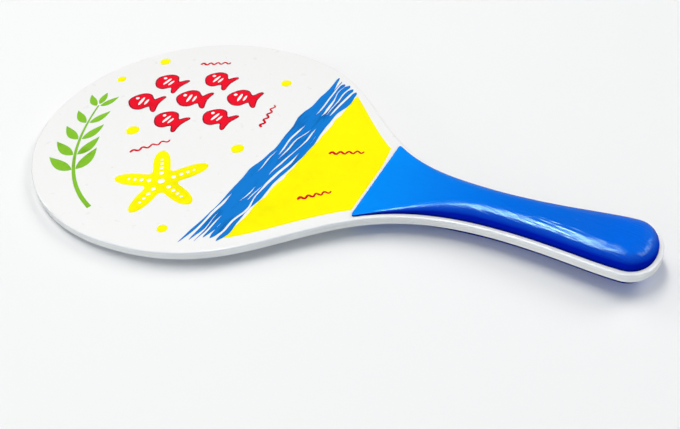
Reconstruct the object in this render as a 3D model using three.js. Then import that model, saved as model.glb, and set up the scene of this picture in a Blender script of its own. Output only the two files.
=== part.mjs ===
// Frescobol racket: a flat plywood board with a round head, a waisted throat and a handle, and two
// shaped wooden grip halves glued on the handle, one on each face of the board.
// Millimetres. X runs along the racket, from the tip of the head to the end of the handle. Y runs
// across it and Z is up. The board is level. The origin is under the middle of the racket's length,
// level with the lowest point of the lower grip.
import * as THREE from 'three';

// Board, seen from above
const racketLength = 380;
const headWidth = 199.2;
const headWidestFromTip = 103.9;
const neckWidth = 30;
const neckFromEnd = 83.5;
const buttWidth = 40.2;
const buttWidestFromEnd = 16;

// Fullness of each stretch of the outline, where 0 is a straight line and 1 a square corner
const tipAcrossShare = 0.5;
const tipAlongShare = 0.6;
const throatHeadShare = 0.522;
const throatNeckShare = 0.55;
const handleNeckShare = 0.461;
const handleButtShare = 0.246;
const endAlongShare = 0.547;
const endAcrossShare = 0.614;

// Sheets of the board
const faceVeneerThickness = 1;
const crossbandThickness = 1.1;
const coreThickness = 1.2;
const rimRadius = 0.9;
const rimLimitShare = 0.95;

// Grip halves
const gripLength = 153.9;
const gripMargin = 2.5;
const gripThickness = 8.6;
const gripFrontThickness = 1.2;
const gripLip = 0.9;
const gripRise = 63;
const gripShoulder = 12;
const gripCornerRadius = 2.5;

// How finely the curves are cut up
const headSteps = 20;
const throatSteps = 18;
const handleSteps = 10;
const endSteps = 12;
const rimSteps = 3;
const cornerSteps = 4;
const gripSideSteps = 52;
const shoulderSteps = 9;
const fieldFineness = 6;
const mergeDistance = 0.00001;

// Heights
const boardThickness = 2 * faceVeneerThickness + 2 * crossbandThickness + coreThickness;
const boardBottom = gripThickness;
const boardTop = boardBottom + boardThickness;

// Places on the outline of the board, on its +Y side
const headTip = new THREE.Vector2(-racketLength / 2, 0);
const handleEnd = new THREE.Vector2(racketLength / 2, 0);
const headSide = new THREE.Vector2(headTip.x + headWidestFromTip, headWidth / 2);
const neckSide = new THREE.Vector2(handleEnd.x - neckFromEnd, neckWidth / 2);
const buttSide = new THREE.Vector2(handleEnd.x - buttWidestFromEnd, buttWidth / 2);

// The half outline is four curves. It runs straight across at the tip and at the end, and straight
// along at the head's widest place, at the neck and at the butt.
const headCurve = new THREE.CubicBezierCurve(
  headTip,
  new THREE.Vector2(headTip.x, headSide.y * tipAcrossShare),
  new THREE.Vector2(headSide.x - headWidestFromTip * tipAlongShare, headSide.y),
  headSide,
);
const throatLength = neckSide.x - headSide.x;
const throatCurve = new THREE.CubicBezierCurve(
  headSide,
  new THREE.Vector2(headSide.x + throatLength * throatHeadShare, headSide.y),
  new THREE.Vector2(neckSide.x - throatLength * throatNeckShare, neckSide.y),
  neckSide,
);
const handleLength = buttSide.x - neckSide.x;
const handleCurve = new THREE.CubicBezierCurve(
  neckSide,
  new THREE.Vector2(neckSide.x + handleLength * handleNeckShare, neckSide.y),
  new THREE.Vector2(buttSide.x - handleLength * handleButtShare, buttSide.y),
  buttSide,
);
const endCurve = new THREE.CubicBezierCurve(
  buttSide,
  new THREE.Vector2(buttSide.x + buttWidestFromEnd * endAlongShare, buttSide.y),
  new THREE.Vector2(handleEnd.x, buttSide.y * endAcrossShare),
  handleEnd,
);
const stretches = [
  { curve: headCurve, steps: headSteps },
  { curve: throatCurve, steps: throatSteps },
  { curve: handleCurve, steps: handleSteps },
  { curve: endCurve, steps: endSteps },
];

// Half outline from the tip to the end, moved inwards by the inset
function halfOutline(inset, fineness = 1) {
  const points = [];
  stretches.forEach(({ curve, steps }, index) => {
    const count = steps * fineness;
    const first = index === 0 ? 0 : 1;
    for (let step = first; step <= count; step += 1) {
      const along = step / count;
      const tangent = curve.getTangent(along);
      const outward = new THREE.Vector2(-tangent.y, tangent.x);
      points.push(curve.getPoint(along).addScaledVector(outward, -inset));
    }
  });
  points[0].y = 0;
  points[points.length - 1].y = 0;
  return points;
}

// Closed ring at a height: out along the -Y side from the tip, and back along the +Y side
function ringAt(half, height) {
  const right = half.map((point) => new THREE.Vector3(point.x, -point.y, height));
  const left = half.slice(1, -1).map((point) => new THREE.Vector3(point.x, point.y, height));
  return [...right, ...left.reverse()];
}

// Triangles between two rings, facing out where the second ring is the upper one
function wallBetween(lower, upper) {
  const triangles = [];
  lower.forEach((corner, index) => {
    const next = (index + 1) % lower.length;
    triangles.push([corner, lower[next], upper[next]]);
    triangles.push([corner, upper[next], upper[index]]);
  });
  return triangles;
}

// Strips straight across a half outline, facing up
function capAt(half, height) {
  const right = half.map((point) => new THREE.Vector3(point.x, -point.y, height));
  const left = half.map((point) => new THREE.Vector3(point.x, point.y, height));
  const triangles = [];
  for (let index = 0; index + 1 < half.length; index += 1) {
    triangles.push([right[index], right[index + 1], left[index + 1]]);
    triangles.push([right[index], left[index + 1], left[index]]);
  }
  return triangles;
}

function turnedOver(triangles) {
  return triangles.map(([first, second, third]) => [first, third, second]);
}

// Geometry of a closed solid, where corners at one place are one vertex and a triangle that has
// shrunk to a line is left out
function solidOf(triangles) {
  const places = new Map();
  const positions = [];
  const indices = [];
  const vertexAt = (corner) => {
    const key = corner.toArray().map((value) => Math.round(value / mergeDistance)).join(' ');
    if (!places.has(key)) {
      places.set(key, places.size);
      positions.push(corner.x, corner.y, corner.z);
    }
    return places.get(key);
  };
  for (const triangle of triangles) {
    const corners = triangle.map(vertexAt);
    if (new Set(corners).size === corners.length) {
      indices.push(...corners);
    }
  }
  const geometry = new THREE.BufferGeometry();
  geometry.setAttribute('position', new THREE.Float32BufferAttribute(positions, 3));
  geometry.setIndex(indices);
  geometry.computeVertexNormals();
  return geometry;
}

// Plain sheet of the board, from its lower face at zero to its upper face
function plainSheet(thickness) {
  const half = halfOutline(0);
  return solidOf([
    ...turnedOver(capAt(half, 0)),
    ...wallBetween(ringAt(half, 0), ringAt(half, thickness)),
    ...capAt(half, thickness),
  ]);
}

// Face sheet of the board, whose upper rim is rounded over by sanding
function roundedSheet(thickness) {
  const radius = Math.min(rimRadius, thickness * rimLimitShare);
  const levels = [{ half: halfOutline(0), height: 0 }];
  for (let step = 0; step <= rimSteps; step += 1) {
    const angle = (step / rimSteps) * (Math.PI / 2);
    const half = halfOutline(radius * (1 - Math.cos(angle)));
    levels.push({ half, height: thickness - radius * (1 - Math.sin(angle)) });
  }
  const top = levels[levels.length - 1];
  const triangles = [...turnedOver(capAt(levels[0].half, 0)), ...capAt(top.half, top.height)];
  for (let index = 0; index + 1 < levels.length; index += 1) {
    const lower = ringAt(levels[index].half, levels[index].height);
    const upper = ringAt(levels[index + 1].half, levels[index + 1].height);
    triangles.push(...wallBetween(lower, upper));
  }
  return solidOf(triangles);
}

// Side of the grip: the board's outline, set in by the white margin
const gripSide = halfOutline(gripMargin, fieldFineness);
const gripEndX = handleEnd.x - gripMargin;
const gripFrontX = gripEndX - gripLength;

function distanceToSide(x, y) {
  const point = new THREE.Vector3(x, y, 0);
  const nearest = new THREE.Vector3();
  const piece = new THREE.Line3();
  let distance = Infinity;
  for (let index = 0; index + 1 < gripSide.length; index += 1) {
    piece.start.set(gripSide[index].x, gripSide[index].y, 0);
    piece.end.set(gripSide[index + 1].x, gripSide[index + 1].y, 0);
    piece.closestPointToPoint(point, true, nearest);
    distance = Math.min(distance, nearest.distanceTo(point));
  }
  return distance;
}

// Height of the grip in its middle, which rises from the front edge along the handle
function gripCrest(x) {
  const rise = THREE.MathUtils.smoothstep(x, gripFrontX, gripFrontX + gripRise);
  return THREE.MathUtils.lerp(gripFrontThickness, gripThickness, rise);
}

// Width of the round shoulder, which is narrower where the grip is lower
function shoulderWidth(x) {
  return gripShoulder * (gripCrest(x) / gripThickness);
}

// Height of the grip's surface over the board, which falls over the shoulder to a thin straight lip
function gripHeight(x, y) {
  const crest = gripCrest(x);
  const lip = Math.min(gripLip, crest);
  const inward = Math.min(distanceToSide(x, y) / shoulderWidth(x), 1);
  return lip + (crest - lip) * Math.sqrt(1 - (1 - inward) ** 2);
}

// Half outline of the grip, from its straight front edge round a small corner and back to its end
function gripHalfOutline() {
  const behind = gripSide.findIndex((point) => point.x > gripFrontX);
  const before = gripSide[behind - 1];
  const after = gripSide[behind];
  const share = (gripFrontX - before.x) / (after.x - before.x);
  const corner = before.clone().lerp(after, share);
  const backward = after.clone().sub(before).normalize();
  const frontStart = new THREE.Vector2(corner.x, corner.y - gripCornerRadius);
  const sideStart = corner.clone().addScaledVector(backward, gripCornerRadius);
  const rounding = new THREE.QuadraticBezierCurve(frontStart, corner, sideStart);
  const rest = gripSide.filter((point) => point.x > sideStart.x + gripCornerRadius);
  const side = new THREE.SplineCurve([sideStart, ...rest]);
  const points = [...rounding.getPoints(cornerSteps), ...side.getSpacedPoints(gripSideSteps).slice(1)];
  points[0].x = gripFrontX;
  points[points.length - 1].set(gripEndX, 0);
  return points;
}

// Points of a rib on the +Y side, from the outline to the middle of the grip. Ribs run straight across
// and fan out from one point in the butt.
function gripRib(start, fanX) {
  const middle = new THREE.Vector2(Math.min(start.x, fanX), 0);
  const length = start.distanceTo(middle);
  const shoulder = Math.min(shoulderWidth(start.x), length);
  const rib = [];
  for (let step = 0; step <= shoulderSteps; step += 1) {
    const angle = (step / shoulderSteps) * (Math.PI / 2);
    const inward = shoulder * (1 - Math.cos(angle));
    const place = start.clone().lerp(middle, length > 0 ? inward / length : 0);
    rib.push(new THREE.Vector3(place.x, place.y, gripHeight(place.x, place.y)));
  }
  rib.push(new THREE.Vector3(middle.x, middle.y, gripHeight(middle.x, middle.y)));
  return rib;
}

function mirrored(points) {
  return points.map((point) => new THREE.Vector3(point.x, -point.y, point.z));
}

// Upper skin between two neighbouring ribs on the +Y side, facing up
function skinBetween(nearer, farther) {
  const triangles = [];
  for (let index = 0; index + 1 < nearer.length; index += 1) {
    triangles.push([nearer[index], nearer[index + 1], farther[index + 1]]);
    triangles.push([nearer[index], farther[index + 1], farther[index]]);
  }
  return triangles;
}

function onBoard(point) {
  return new THREE.Vector3(point.x, point.y, 0);
}

// Grip half, standing up from its glued face at zero
function gripHalf() {
  const half = gripHalfOutline();
  const fanX = gripEndX - (buttWidth / 2 - gripMargin);
  const ribs = half.map((start) => gripRib(start, fanX));
  const triangles = turnedOver(capAt(half, 0));
  for (let index = 0; index + 1 < ribs.length; index += 1) {
    const left = skinBetween(ribs[index], ribs[index + 1]);
    const right = skinBetween(mirrored(ribs[index]), mirrored(ribs[index + 1]));
    const near = ribs[index][0];
    const far = ribs[index + 1][0];
    const leftWall = [[onBoard(far), onBoard(near), near], [onBoard(far), near, far]];
    const rightWall = leftWall.map((corners) => mirrored(corners));
    triangles.push(...left, ...turnedOver(right), ...leftWall, ...turnedOver(rightWall));
  }
  const frontTop = [...mirrored(ribs[0]), ...ribs[0].slice(0, -1).reverse()];
  const frontCorner = onBoard(frontTop[0]);
  const frontEdge = [...frontTop, onBoard(frontTop[frontTop.length - 1])];
  for (let index = 0; index + 1 < frontEdge.length; index += 1) {
    triangles.push([frontCorner, frontEdge[index], frontEdge[index + 1]]);
  }
  return solidOf(triangles);
}

// Finishes
const whiteLacquer = new THREE.MeshStandardMaterial({ color: 0xf4f4f1, roughness: 0.25, metalness: 0 });
const sealedEdge = new THREE.MeshStandardMaterial({ color: 0xe3e2df, roughness: 0.5, metalness: 0 });
const sealedCoreEdge = new THREE.MeshStandardMaterial({ color: 0xded9c6, roughness: 0.5, metalness: 0 });
const blueLacquer = new THREE.MeshStandardMaterial({ color: 0x0a62d8, roughness: 0.18, metalness: 0 });

const racket = new THREE.Group();

function addPiece(name, geometry, material, height) {
  const mesh = new THREE.Mesh(geometry, material);
  mesh.name = name;
  mesh.position.z = height;
  racket.add(mesh);
  return mesh;
}

// Sheets of the board, from below
const lowerCrossbandBottom = boardBottom + faceVeneerThickness;
const coreBottom = lowerCrossbandBottom + crossbandThickness;
const upperCrossbandBottom = coreBottom + coreThickness;
const upperFaceBottom = upperCrossbandBottom + crossbandThickness;
const faceSheet = roundedSheet(faceVeneerThickness);
const crossbandSheet = plainSheet(crossbandThickness);
const faceBottom = addPiece('face_veneer_bottom', faceSheet, whiteLacquer, lowerCrossbandBottom);
faceBottom.rotation.x = Math.PI;
addPiece('crossband_lower', crossbandSheet, sealedEdge, lowerCrossbandBottom);
addPiece('core_veneer', plainSheet(coreThickness), sealedCoreEdge, coreBottom);
addPiece('crossband_upper', crossbandSheet, sealedEdge, upperCrossbandBottom);
addPiece('face_veneer_top', faceSheet, whiteLacquer, upperFaceBottom);

// Grip halves, glued on the upper and the lower face
const gripShape = gripHalf();
addPiece('grip_top', gripShape, blueLacquer, boardTop);
const gripBottom = addPiece('grip_bottom', gripShape, blueLacquer, boardBottom);
gripBottom.rotation.x = Math.PI;

export default racket;
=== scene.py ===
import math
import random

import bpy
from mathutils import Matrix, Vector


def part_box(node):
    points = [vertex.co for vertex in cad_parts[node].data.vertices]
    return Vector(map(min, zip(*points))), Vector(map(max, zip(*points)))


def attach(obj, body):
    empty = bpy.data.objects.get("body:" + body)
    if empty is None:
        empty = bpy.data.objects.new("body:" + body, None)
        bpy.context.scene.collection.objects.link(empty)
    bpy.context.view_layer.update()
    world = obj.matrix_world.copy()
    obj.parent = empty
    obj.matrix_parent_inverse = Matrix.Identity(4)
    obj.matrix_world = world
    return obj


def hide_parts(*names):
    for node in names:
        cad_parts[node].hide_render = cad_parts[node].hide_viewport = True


bl_info = {
    "name": "Frescobol Racket",
    "version": (1, 0, 0),
    "blender": (4, 5, 0),
    "location": "3D View > Sidebar > Racket",
    "description": "Finishes a wooden beach racket: lacquered board, glossy grips and printed face",
    "category": "Add Mesh",
}

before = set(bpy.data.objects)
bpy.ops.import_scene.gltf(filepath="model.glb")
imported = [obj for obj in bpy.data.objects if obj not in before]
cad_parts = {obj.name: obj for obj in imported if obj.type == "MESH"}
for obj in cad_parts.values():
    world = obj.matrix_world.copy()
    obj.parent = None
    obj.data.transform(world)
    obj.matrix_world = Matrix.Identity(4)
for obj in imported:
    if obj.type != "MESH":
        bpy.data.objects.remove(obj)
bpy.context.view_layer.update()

# Places taken from the CAD parts
board_low, board_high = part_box("face_veneer_top")
head_tip_x = board_low.x
face_z = board_high.z
back_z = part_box("face_veneer_bottom")[0].z
grip_low, grip_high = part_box("grip_top")
grip_front_x = grip_low.x

# Grip halves, and which way each one faces
GRIPS = (("grip_top", 1), ("grip_bottom", -1))

# Counts and shares that shape the print
LANES = 6
LANE_POINTS = 150
STAR_ARMS = 5
STAR_POINTS = 150
LEAF_PAIRS = 5
LEAF_POINTS = 14
RIBBON_POINTS = 90
CAP_POINTS = 8
DOT_POINTS = 40
FISH_STEPS = 6

# Settings. Each has a name, a description and a default.


def number(name, description, default):
    return bpy.props.FloatProperty(name=name, description=description, default=default)


def metres(name, description, default):
    return bpy.props.FloatProperty(
        name=name, description=description, default=default, unit="LENGTH", precision=5)


def degrees(name, description, default):
    return bpy.props.FloatProperty(
        name=name, description=description, default=math.radians(default), subtype="ANGLE")


def watts(name, description, default):
    return bpy.props.FloatProperty(name=name, description=description, default=default, unit="POWER")


def position(name, description, default):
    return bpy.props.FloatVectorProperty(
        name=name, description=description, default=default, size=len(default), unit="LENGTH", precision=5)


def paint(name, description, default):
    return bpy.props.FloatVectorProperty(
        name=name, description=description, default=default, subtype="COLOR", size=3, min=0, max=1)


class RacketSizes(bpy.types.PropertyGroup):
    """Sizes of the finish and the print"""

    rim_hold: metres("Rim hold", "Flat ring kept beside the rounded rim of the board", 0.0006)
    grip_waviness: metres("Grip waviness", "Depth of the slight unevenness left by sanding", 0.00007)
    ink: metres("Ink", "Thickness of one layer of ink", 0.00005)
    print_margin: metres(
        "Print margin", "White margin between the board's edge and the yellow field", 0.0081)
    far_margin: metres("Far margin", "The narrower margin at the left end of the band", 0.0045)
    grip_gap: metres("Grip gap", "White line between the yellow field and the grip", 0.0020)
    band_from_tip: metres(
        "Band from tip", "Distance from the head's tip to the middle of the blue band", 0.1632)
    band_width: metres("Band width", "Width of the blue band", 0.0205)
    band_slant: metres(
        "Band slant", "How far the band leans towards the handle over half its length", 0.0055)
    band_bow: metres("Band bow", "How far the ends of the band bend towards the head's tip", 0.0020)
    star_radius: metres("Star radius", "Radius of the starfish over its arms", 0.029)
    fish_length: metres("Fish length", "Length of the largest fish", 0.0216)
    fish_outline: metres("Fish outline", "Width of the dark line round a fish", 0.0008)
    leaf_length: metres("Leaf length", "Length of the longest leaf of the sprig", 0.021)


class RacketColours(bpy.types.PropertyGroup):
    """Colours of the lacquers and inks"""

    white: paint("White lacquer", "Lacquer of the board's faces", (0.93, 0.93, 0.93))
    edge: paint("Sealed edge", "Paint on the edge of the sheets", (0.92, 0.915, 0.90))
    core: paint("Core edge", "Paint on the edge of the middle sheet", (0.90, 0.885, 0.83))
    blue: paint("Blue lacquer", "Lacquer on top of the grip", (0.0006, 0.160, 0.80))
    # Painted light: the grip's thin front end is painted lighter, where more light falls on it
    blue_lit_front: paint("Blue lacquer in front", "Lacquer on the grip's thin front end", (0.0015, 0.27, 0.95))
    # Painted shade: the broad end of the grip is painted darker, where less light falls on it
    blue_shaded_end: paint(
        "Blue lacquer at the end", "Lacquer on the broad end of the grip", (0.0006, 0.135, 0.79))
    # Painted shade: darker blue on the grip's sides below the shoulder, standing in for the shade there
    # rather than thicker lacquer
    blue_shaded_side: paint(
        "Blue lacquer on the side", "Thicker lacquer below the shoulder of the grip", (0.006, 0.090, 0.62))
    # Painted shade: darkest blue at the foot of the grip's sides and where the grips meet the board; it also
    # darkens the top a little at random
    blue_mottle_and_shade: paint(
        "Deep blue lacquer", "Thick lacquer at the foot of the grip's sides", (0.0005, 0.011, 0.42))
    yellow_ink: paint("Yellow ink", "Field, starfish and dots", (0.94, 0.87, 0.003))
    blue_ink: paint("Blue ink", "Brushed band", (0.008, 0.19, 0.62))
    red_ink: paint("Red ink", "Fish and squiggles", (0.80, 0.008, 0.025))
    dark_ink: paint("Dark ink", "Line round the fish", (0.28, 0.010, 0.030))
    green_ink: paint("Green ink", "Leaf sprig", (0.22, 0.50, 0.03))


class RacketStage(bpy.types.PropertyGroup):
    """Camera, floor and lamps"""

    focal_length: bpy.props.FloatProperty(
        name="Focal length", description="Camera lens on a 36 mm sensor", default=47.65,
        subtype="DISTANCE_CAMERA")
    azimuth: degrees("Azimuth", "Direction of the camera round the racket", 31.46)
    elevation: degrees("Elevation", "Height of the camera over the board's plane", 42.36)
    roll: degrees("Roll", "Tilt of the camera about its own line of sight", -6.59)
    distance: metres("Distance", "From the camera to the point it looks at", 0.4855)
    target: position("Target", "Point on the board's face that the camera looks at", (0.02742, -0.03278))
    floor_size: metres("Floor size", "Width of the floor", 8.0)
    sky: number("Sky", "Strength of the soft light from all round", 0.74)
    key_power: watts("Key power", "The large soft lamp behind the racket", 155)
    side_power: watts("Side power", "The large soft lamp on the side of the tip", 70)
    patch_power: watts("Patch power", "The small lamp that shows at the end of the grip", 26)
    low_power: watts("Low power", "The low lamp that lights the near edge of the head", 42)
    strip_power: watts("Strip power", "The lamp overhead that lights the racket", 22)
    gleam_power: watts("Gleam power", "The narrow lamp that shows in the shoulder of the grip", 12)
    gleam_place: position(
        "Gleam place", "Place of the narrow lamp, a little below the lamp overhead", (-0.283, -0.196, 1.98))
    strip_place: position(
        "Strip place", "Place of the lamp overhead, which faces straight down", (-0.40, 0.08, 2.0))
    strip_turn: degrees("Strip turn", "Turn of the lamp overhead from the length of the racket", -67)


def on_head(from_tip, across):
    """Point on the board's face, given from the head's tip and from the middle line."""
    return Vector((head_tip_x + from_tip, across))


def deselect_all():
    bpy.ops.object.select_all(action="DESELECT")


def make_active(piece):
    deselect_all()
    piece.select_set(True)
    bpy.context.view_layer.objects.active = piece


def edit(piece, select_mode="VERT"):
    make_active(piece)
    bpy.ops.object.mode_set(mode="EDIT")
    bpy.ops.mesh.select_mode(type=select_mode)


def leave_edit():
    bpy.ops.object.mode_set(mode="OBJECT")


def select_mesh():
    bpy.ops.mesh.select_all(action="SELECT")


def paired():
    """Pairs the triangles of the mesh into quads."""
    select_mesh()
    bpy.ops.mesh.tris_convert_to_quads(face_threshold=quad_angle, shape_threshold=quad_angle)


def apply_modifier(piece, name):
    make_active(piece)
    bpy.ops.object.modifier_apply(modifier=name)


def select_faces(piece, wanted):
    """Selects the faces for which wanted(face) is true. Starts and ends in edit mode."""
    bpy.ops.mesh.select_all(action="DESELECT")
    leave_edit()
    for face in piece.data.polygons:
        face.select = wanted(face)
    bpy.ops.object.mode_set(mode="EDIT")


def put_on(piece, material, slot=None, *nodes):
    piece.data.materials.clear()
    piece.data.materials.append(material)
    if nodes:
        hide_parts(*nodes)
    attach(piece, "root")


# Materials

grain_turn = math.radians(9)
# Painted shade where the grips meet the board: how far it reaches over the board and under it
board_shade_reach = 0.0022
lower_board_shade_reach = 0.006
lacquer_gleam = (0.52, 0.97, 1.0)
# How well the lacquer is polished: place along the grip from its front, and share of the full gloss
polish_shares = (
    (0.13, 0.28), (0.22, 0.42), (0.4, 0.36), (0.6, 0.66), (0.7, 1.0), (0.77, 1.0), (0.86, 0.38), (0.93, 0.3))


class Nodes:
    """A node tree that is built up step by step. An input takes a value or the output of another node."""

    def __init__(self, owner):
        owner.use_nodes = True
        self.tree = owner.node_tree

    def put(self, socket, value):
        if isinstance(value, bpy.types.NodeSocket):
            self.tree.links.new(value, socket)
        else:
            socket.default_value = value

    def feed(self, node, *values, **named):
        """Fills inputs of the node, in their order or by their names."""
        for socket, value in zip(node.inputs, values):
            self.put(socket, value)
        for name, value in named.items():
            self.put(node.inputs[name.replace("_", " ")], value)
        return node

    def new(self, kind, *values, **named):
        return self.feed(self.tree.nodes.new("ShaderNode" + kind), *values, **named)

    def range(self, factor, low, high, to_low, to_high):
        return self.new("MapRange", factor, low, high, to_low, to_high).outputs["Result"]

    def math(self, operation, first, second):
        node = self.new("Math", first, second)
        node.operation = operation
        return node.outputs["Value"]


class Finish(Nodes):
    """A material that is built up round one shader."""

    def __init__(self, name, **settings):
        self.material = bpy.data.materials.new(name)
        super().__init__(self.material)
        self.shader = self.feed(self.tree.nodes["Principled BSDF"], **settings)
        self.place = self.new("TexCoord").outputs["Object"]

    def axis(self, name):
        return self.new("SeparateXYZ", self.place).outputs[name]

    def attribute(self, name):
        node = self.new("Attribute")
        node.attribute_name = name
        return node.outputs["Fac"]

    def mixed(self, factor, first, second):
        node = self.new("Mix", factor)
        node.data_type = "RGBA"
        sockets = [socket for socket in node.inputs if socket.type == "RGBA"]
        for socket, value in zip(sockets, (first, second)):
            self.put(socket, value)
        return next(socket for socket in node.outputs if socket.type == "RGBA")

    def noise(self, scale, detail, roughness, stretch=(1, 1, 1), distortion=0.0, turn=0.0):
        """Noise at the place in the object, which is turned about Z and then stretched."""
        place = self.new("Mapping", Vector=self.place, Rotation=(0, 0, turn)).outputs["Vector"]
        place = self.new("Mapping", Vector=place, Scale=stretch).outputs["Vector"]
        return self.new(
            "TexNoise", Vector=place, Scale=scale, Detail=detail, Roughness=roughness,
            Distortion=distortion).outputs["Fac"]

    def ramp(self, factor, *stops):
        """Colour ramp. A stop is a place from 0 to 1 and a colour."""
        node = self.new("ValToRGB", factor)
        elements = node.color_ramp.elements
        while len(elements) < len(stops):
            elements.new(0.5)
        for element, (place, colour) in zip(elements, stops):
            element.position = place
            element.color = (*colour, 1)
        return node.outputs["Color"]

    def bump(self, height, depth, strength, before=None):
        node = self.new("Bump", Strength=strength, Distance=depth, Height=height)
        if before:
            self.feed(node, Normal=before)
        return node.outputs["Normal"]

    def done(self, colour, roughness, normal):
        self.feed(self.shader, Base_Color=colour, Roughness=roughness, Normal=normal)
        return self.material


def shade(colour, share):
    return tuple(min(1.0, value * share) for value in colour)


def white_lacquer(colours):
    """Sprayed white lacquer, faintly cloudy, with a faint grain under it and a fine skin."""
    finish = Finish("white_lacquer", Coat_Weight=0.9, Coat_Roughness=0.12, IOR=1.48)
    cloud = finish.noise(9, detail=1, roughness=0.4)
    colour = finish.ramp(cloud, (0.3, shade(colours.white, 0.993)), (0.7, shade(colours.white, 1.005)))
    haze = finish.noise(160, detail=3, roughness=0.6)
    roughness = finish.range(haze, 0.3, 0.7, 0.27, 0.33)
    grain = finish.noise(55, detail=4, roughness=0.6, stretch=(1, 16, 4))
    skin = finish.noise(900, detail=1, roughness=0.4)
    normal = finish.bump(grain, 0.00007, 0.5)
    normal = finish.bump(skin, 0.00002, 0.4, normal)
    return finish.done(colour, roughness, normal)


def sealed_edge(name, edge_colour):
    """Painted edge of a sheet, with fine streaks that run along the sheet."""
    finish = Finish(name, IOR=1.46)
    streak = finish.noise(26, detail=6, roughness=0.7, stretch=(1, 1, 110))
    colour = finish.ramp(
        streak, (0.28, shade(edge_colour, 0.86)), (0.48, edge_colour), (0.75, shade(edge_colour, 1.06)))
    roughness = finish.range(streak, 0.3, 0.7, 0.55, 0.38)
    normal = finish.bump(streak, 0.00012, 0.6)
    return finish.done(colour, roughness, normal)


def blue_lacquer(colours):
    """Glossy blue lacquer brushed over sanded wood, whose grain shows in the highlights. Its colour holds
    painted light and shade: lighter at the front, darker on the steep sides and where the grips meet the
    board.
    """
    finish = Finish("blue_lacquer", IOR=1.68, Specular_Tint=(*lacquer_gleam, 1))
    front = finish.range(finish.axis("X"), grip_low.x, grip_high.x, 0, 1)
    # Painted light and shade: the top is painted lighter at the thin front and darker at the broad end
    top = finish.ramp(front, (0.0, colours.blue_lit_front), (0.5, colours.blue), (0.9, colours.blue_shaded_end))
    depth = finish.noise(9, detail=3, roughness=0.5, stretch=(1, 3, 3))
    streak = finish.noise(30, detail=6, roughness=0.66, stretch=(1, 22, 22), distortion=0.2, turn=grain_turn)
    cloud = finish.math("ADD", finish.math("MULTIPLY", depth, 0.5), finish.math("MULTIPLY", streak, 0.5))
    steep = finish.math("ADD", finish.attribute("slope"), finish.range(cloud, 0.3, 0.7, -0.02, 0.02))
    # Painted shade: the steeper the surface, the darker the blue
    side = finish.ramp(steep, (0.13, colours.blue_shaded_side), (0.5, colours.blue_mottle_and_shade))
    colour = finish.mixed(finish.range(steep, 0.08, 0.13, 0, 1), top, side)
    colour = finish.mixed(finish.range(cloud, 0.36, 0.62, 0.10, 0), colour, (*colours.blue_mottle_and_shade, 1))
    # Painted shade: the grips' steep sides are painted almost black where they meet the board, most of all
    # under it
    low = back_z - lower_board_shade_reach
    high = face_z + board_shade_reach
    height = finish.range(finish.axis("Z"), low, high, 0, 1)
    board_shade_height = finish.ramp(
        height, (0.0, (0, 0, 0)), ((back_z - board_shade_reach - low) / (high - low), (1, 1, 1)),
        ((face_z - low) / (high - low), (0.8, 0.8, 0.8)), (1.0, (0, 0, 0)))
    # Painted shade, weighted by steepness and by height beside the board
    rim = finish.math("MULTIPLY", finish.range(steep, 0.25, 0.5, 0, 1), board_shade_height)
    colour = finish.mixed(rim, colour, (*shade(colours.blue_mottle_and_shade, 0.12), 1))
    polish = finish.ramp(front, *((place, (share,) * 3) for place, share in polish_shares))
    gloss = finish.math("MULTIPLY", finish.range(steep, 0.13, 0.19, 0.8, 0.0), polish)
    finish.feed(finish.shader, Specular_IOR_Level=gloss)
    pores = finish.noise(60, detail=2, roughness=0.6, stretch=(1, 26, 26), turn=grain_turn)
    roughness = finish.range(pores, 0.35, 0.65, 0.09, 0.16)
    fibre = finish.noise(60, detail=2, roughness=0.5, stretch=(1, 13, 13), turn=grain_turn)
    raised = finish.math("MULTIPLY", fibre, finish.range(front, 0.35, 0.75, 1.8, 9))
    normal = finish.bump(raised, 0.0001, 0.5)
    normal = finish.bump(pores, 0.00005, 0.4, normal)
    return finish.done(colour, roughness, normal)


def ink(name, colour, streaks=(1, 1, 1), dark_share=0.82):
    """Flat screen ink, a little uneven in its density and slightly softer in gloss than the lacquer."""
    finish = Finish(name, IOR=1.45, Specular_IOR_Level=0.05)
    density = finish.noise(42, detail=5, roughness=0.62, stretch=streaks)
    tint = finish.ramp(
        density, (0.30, shade(colour, dark_share)), (0.46, colour), (0.72, shade(colour, 1.04)))
    mesh_dots = finish.noise(700, detail=2, roughness=0.5)
    roughness = finish.range(mesh_dots, 0.3, 0.7, 0.30, 0.46)
    normal = finish.bump(mesh_dots, 0.00002, 0.5)
    return finish.done(tint, roughness, normal)


# Board and grips


def merged_copy(node):
    """Own copy of a CAD node with its corners joined. Ends in edit mode."""
    piece = bpy.data.objects.new(node + "_finished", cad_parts[node].data.copy())
    bpy.context.scene.collection.objects.link(piece)
    edit(piece)
    select_mesh()
    bpy.ops.mesh.remove_doubles(threshold=merge_distance)
    bpy.ops.mesh.customdata_custom_splitnormals_clear()
    bpy.ops.mesh.select_mode(type="FACE")
    return piece


# Height over the board from which the sanding has its full depth, and the width of its hollows
sanded_from = 0.003
sanding_scale = 0.018
merge_distance = 0.000002
rounding_levels = 2
fitting_rounds = 3
widest_face = 0.005
# Side of the grip that gets less painted shade and keeps more gloss, and the share of the steepness that it
# doesn't show
less_shaded_side = Vector((0.6, 0.8))
less_shaded_loss = 0.6
cuts_across = 11
flat_cosine = 0.99999
quad_angle = math.radians(40)
sharp_angle = math.radians(50)


def open_flat(piece, direction, hold=0.0):
    """Takes away the flat end that faces one way and leaves a narrow ring of it, if one is asked for."""
    select_faces(piece, lambda face: face.normal.dot(direction) > flat_cosine)
    bpy.ops.mesh.dissolve_faces()
    if hold:
        bpy.ops.mesh.inset(thickness=hold, use_boundary=True)
    bpy.ops.mesh.delete(type="ONLY_FACE")


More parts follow.
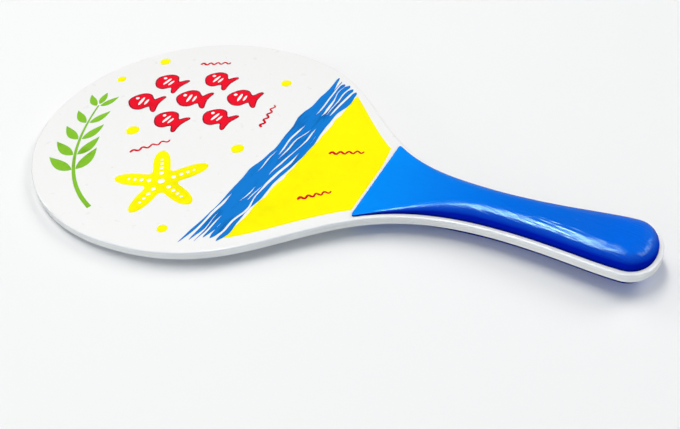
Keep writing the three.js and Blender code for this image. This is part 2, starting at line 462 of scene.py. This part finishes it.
def close_flats(piece):
    """Fills the open ends, each with one flat face."""
    edit(piece, "EDGE")
    select_mesh()
    bpy.ops.mesh.fill_holes(sides=0)
    select_mesh()
    bpy.ops.mesh.normals_make_consistent(inside=False)
    leave_edit()


def hold_sharp_edges():
    """Creases and marks the sharp edges, so that subdivision keeps them."""
    bpy.ops.mesh.select_mode(type="EDGE")
    bpy.ops.mesh.select_all(action="DESELECT")
    bpy.ops.mesh.edges_select_sharp(sharpness=sharp_angle)
    bpy.ops.transform.edge_crease(value=1)
    bpy.ops.mesh.mark_sharp()


def subdivide(piece, node):
    """Rounds the mesh off. Its corners are moved out first, so that the smooth surface runs through them."""
    leave_edit()
    rounding = piece.modifiers.new("Rounding", "SUBSURF")
    rounding.levels = rounding_levels
    rounding.render_levels = rounding_levels
    rounding.boundary_smooth = "PRESERVE_CORNERS"
    corners = [(vertex.co.copy(), vertex.normal.copy()) for vertex in piece.data.vertices]
    for _ in range(fitting_rounds):
        smooth = piece.evaluated_get(bpy.context.evaluated_depsgraph_get()).data
        shrunk = [smooth.vertices[index].co.copy() for index in range(len(corners))]
        for vertex, (corner, outward), place in zip(piece.data.vertices, corners, shrunk):
            vertex.co += outward * (corner - place).dot(outward)
        piece.data.update()
    apply_modifier(piece, rounding.name)
    low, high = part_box(node)
    for vertex in piece.data.vertices:
        vertex.co = [min(max(value, least), most) for value, least, most in zip(vertex.co, low, high)]


class RACKET_OT_board(bpy.types.Operator):
    """Finish the five sheets of the board, with their sanded rims"""

    bl_idname = "racket.board"
    bl_label = "Board"

    def execute(self, context):
        sizes = context.scene.racket_sizes
        colours = context.scene.racket_colours
        white = white_lacquer(colours)
        edge = sealed_edge("sealed_edge", colours.edge)
        core = sealed_edge("sealed_core_edge", colours.core)
        finishes = {
            "face_veneer_bottom": (white, "white_lacquer"),
            "crossband_lower": (edge, "sealed_edge"),
            "core_veneer": (core, "sealed_core_edge"),
            "crossband_upper": (edge, "sealed_edge"),
            "face_veneer_top": (white, "white_lacquer"),
        }
        for node, (material, slot) in finishes.items():
            piece = merged_copy(node)
            for direction in (Vector((0, 0, 1)), Vector((0, 0, -1))):
                open_flat(piece, direction, sizes.rim_hold)
            paired()
            hold_sharp_edges()
            subdivide(piece, node)
            close_flats(piece)
            bpy.ops.object.shade_smooth_by_angle(angle=sharp_angle)
            put_on(piece, material, slot, node)
        return {"FINISHED"}


class RACKET_OT_grips(bpy.types.Operator):
    """Finish the two grip halves, with their glossy shoulders"""

    bl_idname = "racket.grips"
    bl_label = "Grips"

    def execute(self, context):
        sizes = context.scene.racket_sizes
        lacquer = blue_lacquer(context.scene.racket_colours)
        for node, upward in GRIPS:
            piece = merged_copy(node)
            open_flat(piece, Vector((0, 0, -upward)))
            select_faces(piece, lambda face: face.normal.x < -flat_cosine)
            bpy.ops.mesh.dissolve_faces()
            paired()
            self.cut_across(piece)
            hold_sharp_edges()
            subdivide(piece, node)
            self.sand(piece, node, upward, sizes.grip_waviness)
            close_flats(piece)
            bpy.ops.object.shade_smooth_by_angle(angle=sharp_angle)
            self.note_slope(piece, upward)
            put_on(piece, lacquer, "blue_lacquer", node)
        return {"FINISHED"}

    def cut_across(self, piece):
        """Cuts up the faces that span the flat middle of the grip. Starts and ends in edit mode."""
        bpy.ops.mesh.select_mode(type="EDGE")
        bpy.ops.mesh.select_all(action="DESELECT")
        leave_edit()
        mesh = piece.data
        for line in mesh.edges:
            span = mesh.vertices[line.vertices[0]].co - mesh.vertices[line.vertices[1]].co
            line.select = abs(span.y) > widest_face
        bpy.ops.object.mode_set(mode="EDIT")
        bpy.ops.mesh.subdivide(number_cuts=cuts_across)

    def sand(self, piece, node, upward, depth):
        """Lets the hand-sanded surface sink a little here and there, but not where it meets the board."""
        glued_z = face_z if upward == 1 else back_z
        above = piece.vertex_groups.new(name="above")
        for vertex in piece.data.vertices:
            height = (vertex.co.z - glued_z) * upward
            above.add([vertex.index], min(1.0, max(0.0, height / sanded_from)), "REPLACE")
        clouds = bpy.data.textures.new(node + "_clouds", "CLOUDS")
        clouds.noise_scale = sanding_scale
        unevenness = piece.modifiers.new("Sanding", "DISPLACE")
        unevenness.texture = clouds
        unevenness.texture_coords = "LOCAL"
        unevenness.vertex_group = above.name
        unevenness.mid_level = 1
        unevenness.strength = depth
        apply_modifier(piece, unevenness.name)
        piece.vertex_groups.clear()

    def note_slope(self, piece, upward):
        """Writes how steep the surface is at each corner, for the painted shade and the gloss. On one side
        of the grip the steepness is lessened, so that side gets less painted shade.
        """
        slope = piece.data.attributes.new("slope", "FLOAT", "POINT")
        steep = []
        for normal in piece.data.vertex_normals:
            sideways = normal.vector.xy.normalized() if normal.vector.xy.length > 0 else Vector((0, 0))
            # Painted shade: the side that faces less_shaded_side counts as less steep and is painted less
            # dark
            thin = 1 - less_shaded_loss * max(0.0, sideways.dot(less_shaded_side))
            steep.append((1 - max(0.0, normal.vector.z * upward)) * thin)
        slope.data.foreach_set("value", steep)


# Print


def printed(name, outlines, material, layers=1):
    """One film of ink: each closed outline is a flat face, raised by its layers of ink."""
    parts = []
    for points in outlines:
        bpy.ops.mesh.primitive_circle_add(vertices=len(points), radius=1, fill_type="NGON")
        part = bpy.context.object
        for vertex, point in zip(part.data.vertices, points):
            vertex.co = (point.x, point.y, face_z)
        edit(part, "FACE")
        select_mesh()
        bpy.ops.mesh.extrude_region_move(
            TRANSFORM_OT_translate={"value": (0, 0, bpy.context.scene.racket_sizes.ink * layers)})
        select_mesh()
        bpy.ops.mesh.normals_make_consistent(inside=False)
        leave_edit()
        parts.append(part)
    deselect_all()
    for part in parts:
        part.select_set(True)
    bpy.context.view_layer.objects.active = parts[0]
    if len(parts) > 1:
        bpy.ops.object.join()
    film = bpy.context.object
    film.name = name
    film.data.name = name
    put_on(film, material)


def board_edge():
    """Half outline of the board on its +Y side, from the tip to the end of the handle."""
    points = {}
    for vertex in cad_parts["core_veneer"].data.vertices:
        if vertex.co.y >= 0:
            points[round(vertex.co.x, 6)] = Vector((vertex.co.x, vertex.co.y))
    return [points[key] for key in sorted(points)]


def inset_edge(distance, at_grip):
    """The half outline, moved inwards. The distance changes evenly from the band to the grip."""
    edge = board_edge()
    moved = []
    for before, point, after in zip(edge, edge[1:], edge[2:]):
        along = (after - before).normalized()
        share = min(max((point.x - margin_change_x) / (grip_front_x - margin_change_x), 0.0), 1.0)
        inwards = distance + (at_grip - distance) * share
        moved.append(point + Vector((along.y, -along.x)) * inwards)
    return moved


margin_change_x = -0.015


def half_width_at(edge, x):
    for before, after in zip(edge, edge[1:]):
        if before.x <= x <= after.x:
            share = (x - before.x) / (after.x - before.x)
            return before.y + (after.y - before.y) * share
    raise ValueError(f"the outline has no point at {x}")


class Wander:
    """Smooth random line through seeded heights, for edges drawn with a brush."""

    def __init__(self, draw, knots, reach):
        self.heights = [draw.uniform(-reach, reach) for _ in range(knots + 1)]
        self.knots = knots

    def at(self, share):
        place = min(max(share, 0.0), 1.0) * self.knots
        first = min(int(place), self.knots - 1)
        part = place - first
        part = part * part * (3 - 2 * part)
        return self.heights[first] * (1 - part) + self.heights[first + 1] * part


def band_middle(sizes, y):
    """Middle line of the blue band, which leans and bends a little."""
    share = y / band_reach
    return head_tip_x + sizes.band_from_tip + sizes.band_slant * share - sizes.band_bow * share ** 2


band_reach = 0.080
band_seed = 5


class RACKET_OT_yellow_field(bpy.types.Operator):
    """Print the yellow field between the blue band and the grip"""

    bl_idname = "racket.yellow_field"
    bl_label = "Yellow field"

    def execute(self, context):
        sizes = context.scene.racket_sizes
        edge = inset_edge(sizes.print_margin, sizes.print_margin)
        far_edge = inset_edge(sizes.far_margin, sizes.print_margin)
        near_x = grip_front_x - sizes.grip_gap
        far_x = near_x - field_corner_cut
        start = sizes.band_width / 2 + field_gap
        draw = random.Random(field_seed)
        rough = Wander(draw, field_knots, field_roughness)
        near_y = field_start_y(sizes, edge, start, -1)
        far_y = field_start_y(sizes, far_edge, start, 1)
        points = []
        for step in range(field_steps + 1):
            share = step / field_steps
            y = near_y + (far_y - near_y) * share
            points.append(Vector((band_middle(sizes, y) + start + rough.at(share), y)))
        points += [point for point in far_edge if points[-1].x < point.x < far_x]
        points.append(Vector((far_x, half_width_at(far_edge, far_x))))
        points.append(Vector((near_x, half_width_at(far_edge, near_x) * field_corner_share)))
        points.append(Vector((near_x, -half_width_at(edge, near_x))))
        right = [Vector((point.x, -point.y)) for point in edge if points[0].x < point.x < near_x]
        points += reversed(right)
        material = ink("yellow_ink", context.scene.racket_colours.yellow_ink, dark_share=0.93)
        printed("yellow_field", [points], material)
        return {"FINISHED"}


field_gap = 0.0008
field_corner_cut = 0.0019
field_corner_share = 0.45
field_seed = 3
field_knots = 26
field_roughness = 0.0007
field_steps = 120
meeting_rounds = 40


def field_start_y(sizes, edge, start, side):
    """Where the field's slanting start meets the inset edge of the board."""
    y = side * band_reach
    for _ in range(meeting_rounds):
        y = side * half_width_at(edge, band_middle(sizes, y) + start)
    return y


class RACKET_OT_blue_band(bpy.types.Operator):
    """Print the band of brushed blue waves across the head"""

    bl_idname = "racket.blue_band"
    bl_label = "Blue band"

    def execute(self, context):
        sizes = context.scene.racket_sizes
        draw = random.Random(band_seed)
        edge = inset_edge(sizes.print_margin, sizes.print_margin)
        far_edge = inset_edge(sizes.far_margin, sizes.print_margin)
        lane_width = sizes.band_width / LANES
        borders = [Wander(draw, border_knots, lane_width * border_reach_share) for _ in range(LANES + 1)]
        gaps = [Wander(draw, gap_knots, gap_reach) for _ in range(LANES + 1)]

        def offset(lane):
            return (lane - LANES / 2) * lane_width

        def border(lane, y, side):
            """Place of a lane's left border, on one side of the gap that may open in it."""
            along = (y + band_reach) / (2 * band_reach)
            swell = lane_swell * math.sin(2 * math.pi * (swell_waves * along + lane * swell_shift))
            gap = side * max(0.0, gaps[lane].at(along)) / 2
            return band_middle(sizes, y) + offset(lane) + swell + borders[lane].at(along) + gap

        outlines = []
        for lane in range(LANES):
            near_width = half_width_at(edge, band_middle(sizes, -band_reach) + offset(lane))
            far_width = half_width_at(far_edge, band_middle(sizes, band_reach) + offset(lane))
            start = draw.uniform(0, lane_end_reach) - near_width
            end = far_width - draw.uniform(0, far_end_reach)
            outlines.append(lane_outline(start, end, lane, border))
        blue = ink("blue_ink", context.scene.racket_colours.blue_ink, streaks=(6, 1, 1), dark_share=0.62)
        printed("blue_band", outlines, blue, layers=2)
        return {"FINISHED"}


def lane_outline(start, end, lane, border):
    """A lane of the band. It touches the lanes beside it, apart from where a gap opens between them."""
    left = []
    right = []
    for step in range(LANE_POINTS + 1):
        share = step / LANE_POINTS
        y = start + (end - start) * share
        left_x = border(lane, y, 1)
        right_x = border(lane + 1, y, -1)
        taper = min(1.0, share / taper_share, (1 - share) / far_taper_share) ** taper_power
        centre_x = (left_x + right_x) / 2
        half = max(least_half_width, (right_x - left_x) / 2 * taper)
        left.append(Vector((centre_x - half, y)))
        right.append(Vector((centre_x + half, y)))
    return left + right[::-1]


border_knots = 15
border_reach_share = 0.26
gap_knots = 11
gap_reach = 0.0020
lane_swell = 0.0011
swell_waves = 2.4
swell_shift = 0.17
lane_end_reach = 0.006
far_end_reach = 0.003
taper_share = 0.05
far_taper_share = 0.015
taper_power = 0.6
least_half_width = 0.00005


class RACKET_OT_starfish(bpy.types.Operator):
    """Print the yellow starfish and its white spots"""

    bl_idname = "racket.starfish"
    bl_label = "Starfish"

    def execute(self, context):
        sizes = context.scene.racket_sizes
        colours = context.scene.racket_colours
        centre = on_head(star_from_tip, star_across)
        points = []
        for step in range(STAR_POINTS):
            angle = 2 * math.pi * step / STAR_POINTS
            arm = 0.5 + 0.5 * math.cos(STAR_ARMS * angle)
            radius = sizes.star_radius * (star_waist_share + (1 - star_waist_share) * arm ** star_arm_power)
            points.append(centre + turned(radius, angle + star_turn))
        material = ink("yellow_ink_star", colours.yellow_ink, dark_share=0.9)
        printed("starfish", [points], material)
        spots = [disc(centre, sizes.star_radius * spot_share)]
        for arm in range(STAR_ARMS):
            angle = 2 * math.pi * arm / STAR_ARMS + star_turn
            for reach_share, size_share in spot_row:
                place = centre + turned(sizes.star_radius * reach_share, angle)
                spots.append(disc(place, sizes.star_radius * size_share))
        white = ink("white_ink", colours.white, dark_share=0.97)
        printed("starfish_spots", spots, white, layers=2)
        return {"FINISHED"}


star_from_tip = 0.108
star_across = -0.046
star_turn = math.radians(52)
star_waist_share = 0.36
star_arm_power = 1.5
spot_share = 0.07
spot_row = ((0.26, 0.045), (0.42, 0.04), (0.56, 0.034), (0.69, 0.028))


def turned(radius, angle):
    return Vector((radius * math.cos(angle), radius * math.sin(angle)))


def disc(centre, radius, stretch_share=1.0):
    points = []
    for step in range(DOT_POINTS):
        place = turned(radius, 2 * math.pi * step / DOT_POINTS)
        points.append(centre + Vector((place.x, place.y * stretch_share)))
    return points


def ribbon(start, end, half_width, amplitude, waves, taper_share):
    """Closed outline of a wavy stroke with round ends."""
    along = (end - start).normalized()
    across = Vector((-along.y, along.x))
    middle = []
    for step in range(RIBBON_POINTS + 1):
        share = step / RIBBON_POINTS
        sway = amplitude * math.sin(2 * math.pi * waves * share)
        middle.append(start.lerp(end, share) + across * sway)
    left, right = stroke_sides(middle, half_width, taper_share)
    return left + round_end(left[-1], right[-1]) + right[::-1] + round_end(right[0], left[0])


def stroke_sides(middle, half_width, taper_share):
    """Left and right side of a stroke along its middle line, which narrows towards its end."""
    last = len(middle) - 1
    left = []
    right = []
    for index, point in enumerate(middle):
        forward = (middle[min(index + 1, last)] - middle[max(index - 1, 0)]).normalized()
        sideways = Vector((-forward.y, forward.x)) * (half_width * (1 - taper_share * index / last))
        left.append(point + sideways)
        right.append(point - sideways)
    return left, right


def round_end(first, last):
    """Points of a half circle from first to last, on the right-hand side of the way between them."""
    centre = (first + last) / 2
    arm = first - centre
    points = []
    for step in range(1, CAP_POINTS):
        angle = -math.pi * step / CAP_POINTS
        turn = Matrix.Rotation(angle, 2)
        points.append(centre + turn @ arm)
    return points


def smooth_loop(controls, steps):
    """Closed smooth curve through the control points."""
    count = len(controls)
    points = []
    for index in range(count):
        before, first, last, after = (controls[(index + shift) % count] for shift in (-1, 0, 1, 2))
        for step in range(steps):
            share = step / steps
            points.append(0.5 * (
                2 * first + (last - before) * share
                + (2 * before - 5 * first + 4 * last - after) * share ** 2
                + (3 * first - before - 3 * last + after) * share ** 3))
    return points


def grown(points, distance):
    """The closed outline, moved outwards."""
    area = sum(first.cross(last) for first, last in zip(points, points[1:] + points[:1]))
    outwards = 1 if area > 0 else -1
    moved = []
    for before, point, after in zip(points[-1:] + points[:-1], points, points[1:] + points[:1]):
        along = (after - before).normalized()
        moved.append(point + Vector((along.y, -along.x)) * distance * outwards)
    return moved


class RACKET_OT_fish(bpy.types.Operator):
    """Print the shoal of bold red fish, each with a dark line round it"""

    bl_idname = "racket.fish"
    bl_label = "Fish"

    def execute(self, context):
        sizes = context.scene.racket_sizes
        colours = context.scene.racket_colours
        bodies = []
        lines = []
        marks = []
        for from_tip, across, length_share, angle in fish_places:
            length = sizes.fish_length * length_share
            turn = Matrix.Rotation(math.radians(angle), 2)
            centre = on_head(from_tip, across)
            outline = [centre + turn @ (Vector(point) - fish_middle) * length for point in fish_controls]
            body = smooth_loop(outline, FISH_STEPS)
            bodies.append(body)
            lines.append(grown(body, sizes.fish_outline))
            for mark, radius_share, stretch in fish_marks:
                place = centre + turn @ (Vector(mark) - fish_middle) * length
                ring = disc(Vector((0, 0)), length * radius_share, stretch)
                marks.append([place + turn @ point for point in ring])
        dark = ink("dark_ink", colours.dark_ink, dark_share=0.8)
        printed("fish_outlines", lines, dark)
        red = ink("red_ink", colours.red_ink, streaks=(1, 3, 1), dark_share=0.86)
        printed("fish", bodies, red, layers=2)
        white = ink("white_ink_fish", colours.white, dark_share=0.97)
        printed("fish_marks", marks, white, layers=3)
        return {"FINISHED"}


# Outline of a fish one unit long, from its nose and from its middle line
fish_controls = (
    (0.0, 0.0), (0.08, 0.19), (0.28, 0.36), (0.50, 0.36), (0.66, 0.20), (0.76, 0.17), (0.90, 0.34),
    (0.99, 0.36), (0.955, 0.18), (0.93, 0.0), (0.955, -0.18), (0.99, -0.36), (0.90, -0.34),
    (0.76, -0.17), (0.66, -0.20), (0.50, -0.36), (0.28, -0.36), (0.08, -0.19),
)
# White marks: place, radius and stretch across
fish_marks = (
    ((0.19, 0.11), 0.055, 1.0),
    ((0.38, 0.0), 0.046, 4.2),
    ((0.55, 0.0), 0.040, 3.4),
)
fish_middle = Vector((0.5, 0))
# Fish: from the tip, across, share of the full length and turn in degrees
fish_places = (
    (0.054, 0.040, 0.95, -9),
    (0.051, 0.016, 1.0, 7),
    (0.084, 0.054, 0.92, -7),
    (0.079, 0.030, 1.0, 9),
    (0.078, 0.005, 0.95, -8),
    (0.110, 0.042, 0.97, 8),
    (0.106, 0.018, 0.95, -9),
)


class RACKET_OT_sprig(bpy.types.Operator):
    """Print the green leaf sprig"""

    bl_idname = "racket.sprig"
    bl_label = "Leaf sprig"

    def execute(self, context):
        sizes = context.scene.racket_sizes
        start = on_head(*sprig_start)
        bend = on_head(*sprig_bend)
        end = on_head(*sprig_end)
        stem = []
        for step in range(RIBBON_POINTS + 1):
            stem.append(curve_point(start, bend, end, step / RIBBON_POINTS))
        left, right = stroke_sides(stem, stem_half_width, stem_taper_share)
        outlines = [left + right[::-1]]
        for pair in range(LEAF_PAIRS):
            share = first_leaf_share + (1 - first_leaf_share) * pair / (LEAF_PAIRS - 1)
            index = min(int(share * RIBBON_POINTS), RIBBON_POINTS - 1)
            forward = (stem[index + 1] - stem[index]).normalized()
            length = sizes.leaf_length * (1 - leaf_shrink_share * pair / (LEAF_PAIRS - 1))
            for side in (-1, 1):
                outlines.append(leaf(stem[index], forward, length, side * leaf_angle))
        forward = (stem[-1] - stem[-2]).normalized()
        outlines.append(leaf(stem[-1], forward, sizes.leaf_length * tip_leaf_share, 0))
        green = ink("green_ink", context.scene.racket_colours.green_ink, streaks=(2, 2, 1), dark_share=0.7)
        printed("leaf_sprig", outlines, green)
        return {"FINISHED"}


sprig_start = (0.082, -0.080)
sprig_bend = (0.040, -0.062)
sprig_end = (0.024, 0.002)
first_leaf_share = 0.42
leaf_shrink_share = 0.35
leaf_angle = math.radians(50)
tip_leaf_share = 0.6
leaf_width_share = 0.17
leaf_gap = 0.0002
stem_half_width = 0.0014
stem_taper_share = 0.6


def curve_point(start, bend, end, share):
    return start * (1 - share) ** 2 + bend * (2 * share * (1 - share)) + end * share ** 2


def leaf(root, forward, length, angle):
    """Pointed leaf that grows from the stem at an angle and curls forward a little."""
    direction = Matrix.Rotation(angle, 2) @ forward
    sideways = Vector((-direction.y, direction.x))
    curl = -math.copysign(leaf_curl_share, angle) if angle else 0.0
    start = root + direction * (stem_half_width + leaf_gap)
    left = []
    right = []
    for step in range(LEAF_POINTS + 1):
        share = step / LEAF_POINTS
        half = length * leaf_width_share * math.sin(math.pi * share ** leaf_fullness_power) + leaf_tip_width
        point = start + direction * (length * share) + sideways * (length * curl * share * share)
        left.append(point + sideways * half)
        right.append(point - sideways * half)
    return left + right[::-1]


leaf_curl_share = 0.22
leaf_fullness_power = 0.8
leaf_tip_width = 0.0001


class RACKET_OT_confetti(bpy.types.Operator):
    """Print the yellow dots and the red squiggles"""

    bl_idname = "racket.confetti"
    bl_label = "Confetti"

    def execute(self, context):
        colours = context.scene.racket_colours
        dots = [disc(on_head(from_tip, across), radius) for from_tip, across, radius in dot_places]
        yellow = ink("yellow_ink_dots", colours.yellow_ink, dark_share=0.9)
        printed("yellow_dots", dots, yellow, layers=2)
        squiggles = []
        for start, end in squiggle_places:
            first = on_head(*start)
            last = on_head(*end)
            squiggles.append(ribbon(
                first, last, squiggle_half_width, squiggle_sway, squiggle_waves, squiggle_taper_share))
        red = ink("squiggle_ink", shade(colours.red_ink, 0.75), dark_share=0.7)
        printed("red_squiggles", squiggles, red, layers=3)
        return {"FINISHED"}


# Dots: from the tip, across and radius
dot_places = (
    (0.020, 0.032, 0.0030),
    (0.062, -0.012, 0.0042),
    (0.036, 0.060, 0.0036),
    (0.134, -0.004, 0.0040),
    (0.128, 0.066, 0.0034),
    (0.132, -0.079, 0.0030),
)
squiggle_places = (
    ((0.074, -0.030), (0.090, -0.012)),
    ((0.062, 0.066), (0.080, 0.074)),
    ((0.136, 0.020), (0.133, 0.042)),
    ((0.190, -0.030), (0.204, -0.018)),
    ((0.188, 0.012), (0.206, 0.020)),
)
squiggle_half_width = 0.0008
squiggle_sway = 0.0010
squiggle_waves = 4
squiggle_taper_share = 0.4


# Stage


def resting_slope():
    """How much the floor falls per length along the racket, which rests on its tip and its lower grip."""
    tip = min((vertex.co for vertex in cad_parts["face_veneer_bottom"].data.vertices),
              key=lambda place: (round(place.z, 6), place.x))
    slope = 0.0
    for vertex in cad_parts["grip_bottom"].data.vertices:
        slope = max(slope, (tip.z - vertex.co.z) / (vertex.co.x - tip.x))
    return tip, slope


class RACKET_OT_stage(bpy.types.Operator):
    """Set up the camera, the floor and the soft studio light"""

    bl_idname = "racket.stage"
    bl_label = "Stage"

    def execute(self, context):
        stage = context.scene.racket_stage
        self.camera(context, stage)
        self.floor(stage)
        self.sky(context, stage)
        self.lamps(context, stage)
        context.scene.view_settings.view_transform = "Standard"
        return {"FINISHED"}

    def camera(self, context, stage):
        across = math.cos(stage.elevation)
        back = Vector((
            math.sin(stage.azimuth) * across, -math.cos(stage.azimuth) * across, math.sin(stage.elevation)))
        level = Vector((0, 0, 1)).cross(back).normalized()
        upward = back.cross(level)
        right = level * math.cos(stage.roll) + upward * math.sin(stage.roll)
        up = upward * math.cos(stage.roll) - level * math.sin(stage.roll)
        lens = bpy.data.cameras.new("Camera")
        lens.lens = stage.focal_length
        lens.sensor_width = sensor_width
        lens.clip_start = near_clip
        camera = bpy.data.objects.new("Camera", lens)
        turn = Matrix((right, up, back)).transposed().to_4x4()
        place = Vector((*stage.target, face_z)) + back * stage.distance
        camera.matrix_world = Matrix.Translation(place) @ turn
        context.scene.collection.objects.link(camera)
        context.scene.camera = camera

    def floor(self, stage):
        tip, slope = resting_slope()
        deselect_all()
        bpy.ops.mesh.primitive_plane_add(size=stage.floor_size)
        floor = bpy.context.object
        floor.name = "floor"
        for vertex in floor.data.vertices:
            vertex.co.z = tip.z - slope * (vertex.co.x - tip.x) - floor_clearance
        floor.data.materials.append(self.floor_paint())

    def floor_paint(self):
        """White table. It keeps soft shadows, glows faintly for the camera and shows little in the gloss."""
        material = bpy.data.materials.new("floor_paint")
        nodes = Nodes(material)
        shader = nodes.feed(
            nodes.tree.nodes["Principled BSDF"], Base_Color=(*floor_colour, 1), Roughness=floor_roughness,
            Specular_IOR_Level=floor_gloss)
        rays = nodes.new("LightPath").outputs
        shown = shader.outputs["BSDF"]
        for ray, share, level in (
                ("Is Camera Ray", floor_glow_share, 1), ("Is Glossy Ray", floor_gloss_loss, 0)):
            other = nodes.new("Emission", Color=(level, level, level, 1)).outputs["Emission"]
            share_seen = nodes.math("MULTIPLY", rays[ray], share)
            shown = nodes.new("MixShader", share_seen, shown, other).outputs["Shader"]
        nodes.feed(nodes.tree.nodes["Material Output"], Surface=shown)
        return material

    def sky(self, context, stage):
        """Soft light from all round that is dim on one side. The camera sees it at full strength."""
        world = bpy.data.worlds.new("studio")
        nodes = Nodes(world)
        across = nodes.new("VectorMath", nodes.new("TexCoord").outputs["Generated"], dark_sky)
        across.operation = "DOT_PRODUCT"
        light = nodes.range(across.outputs["Value"], dark_sky_from, 1, stage.sky, stage.sky * dark_sky_share)
        strength = nodes.range(nodes.new("LightPath").outputs["Is Camera Ray"], 0, 1, light, 1)
        nodes.feed(nodes.tree.nodes["Background"], Color=(*sky_colour, 1), Strength=strength)
        context.scene.world = world

    def lamps(self, context, stage):
        for name, power, (form, place), shows in (
                ("key", stage.key_power, key_lamp, False), ("side", stage.side_power, side_lamp, False),
                ("low", stage.low_power, low_lamp, False), ("patch", stage.patch_power, patch_lamp, True)):
            to_racket = (grip_low - Vector(place)).to_track_quat("-Z", "Y").to_euler()
            self.lamp(context, name, power, form, place, to_racket, shows)
        turn = (0, 0, stage.strip_turn)
        self.lamp(context, "strip", stage.strip_power, strip_form, stage.strip_place, turn, False)
        self.lamp(context, "gleam", stage.gleam_power, gleam_form, stage.gleam_place, turn, True)

    def lamp(self, context, name, power, form, place, turn, shows):
        """A soft lamp that either shows in the gloss or lights the racket."""
        light = bpy.data.lights.new(name, "AREA")
        light.shape = "RECTANGLE"
        light.size, light.size_y = form
        light.energy = power
        light.color = lamp_colour
        lamp = bpy.data.objects.new(name, light)
        lamp.location = place
        lamp.rotation_euler = turn
        lamp.visible_glossy = shows
        lamp.visible_diffuse = not shows
        context.scene.collection.objects.link(lamp)


sensor_width = 36
near_clip = 0.01
floor_clearance = 0.0001
floor_colour = (0.86, 0.865, 0.875)
floor_roughness = 0.6
floor_gloss = 0.2
floor_glow_share = 0.05
floor_gloss_loss = 0.7
# Direction in which the room is dark, and how bright it is there compared with the rest
dark_sky = (-0.386, 0.630, 0.674)
dark_sky_share = 0.05
dark_sky_from = -0.6
sky_colour = (0.74, 0.87, 1.0)
lamp_colour = (1.0, 0.965, 0.91)
# Lamps: length and width, and place
key_lamp = ((2.8, 2.8), (2.6, 4.0, 4.0))
side_lamp = ((2.8, 2.8), (-4.4, 1.5, 4.0))
low_lamp = ((1.5, 1.5), (-3.8, -1.9, 1.0))
patch_lamp = ((0.5, 0.5), (2.0, 1.0, 2.0))
strip_form = (1.4, 0.3)
gleam_form = (0.8, 0.2)

PIECES = ("board", "grips", "yellow_field", "blue_band", "starfish", "fish", "sprig", "confetti", "stage")


class RACKET_PT_panel(bpy.types.Panel):
    """Buttons and settings of the racket"""

    bl_idname = "RACKET_PT_panel"
    bl_label = "Racket"
    bl_space_type = "VIEW_3D"
    bl_region_type = "UI"
    bl_category = "Racket"

    def draw(self, context):
        for piece in PIECES:
            self.layout.operator("racket." + piece)
        for group in (context.scene.racket_sizes, context.scene.racket_colours, context.scene.racket_stage):
            for name in group.__annotations__:
                self.layout.prop(group, name)


CLASSES = (
    RacketSizes, RacketColours, RacketStage,
    RACKET_OT_board, RACKET_OT_grips, RACKET_OT_yellow_field, RACKET_OT_blue_band, RACKET_OT_starfish,
    RACKET_OT_fish, RACKET_OT_sprig, RACKET_OT_confetti, RACKET_OT_stage, RACKET_PT_panel,
)


def register():
    for item in CLASSES:
        bpy.utils.register_class(item)
    bpy.types.Scene.racket_sizes = bpy.props.PointerProperty(type=RacketSizes)
    bpy.types.Scene.racket_colours = bpy.props.PointerProperty(type=RacketColours)
    bpy.types.Scene.racket_stage = bpy.props.PointerProperty(type=RacketStage)


def unregister():
    del bpy.types.Scene.racket_stage
    del bpy.types.Scene.racket_colours
    del bpy.types.Scene.racket_sizes
    for item in reversed(CLASSES):
        bpy.utils.unregister_class(item)


def main():
    register()
    for piece in PIECES:
        getattr(bpy.ops.racket, piece)()


if __name__ == "__main__":
    main()
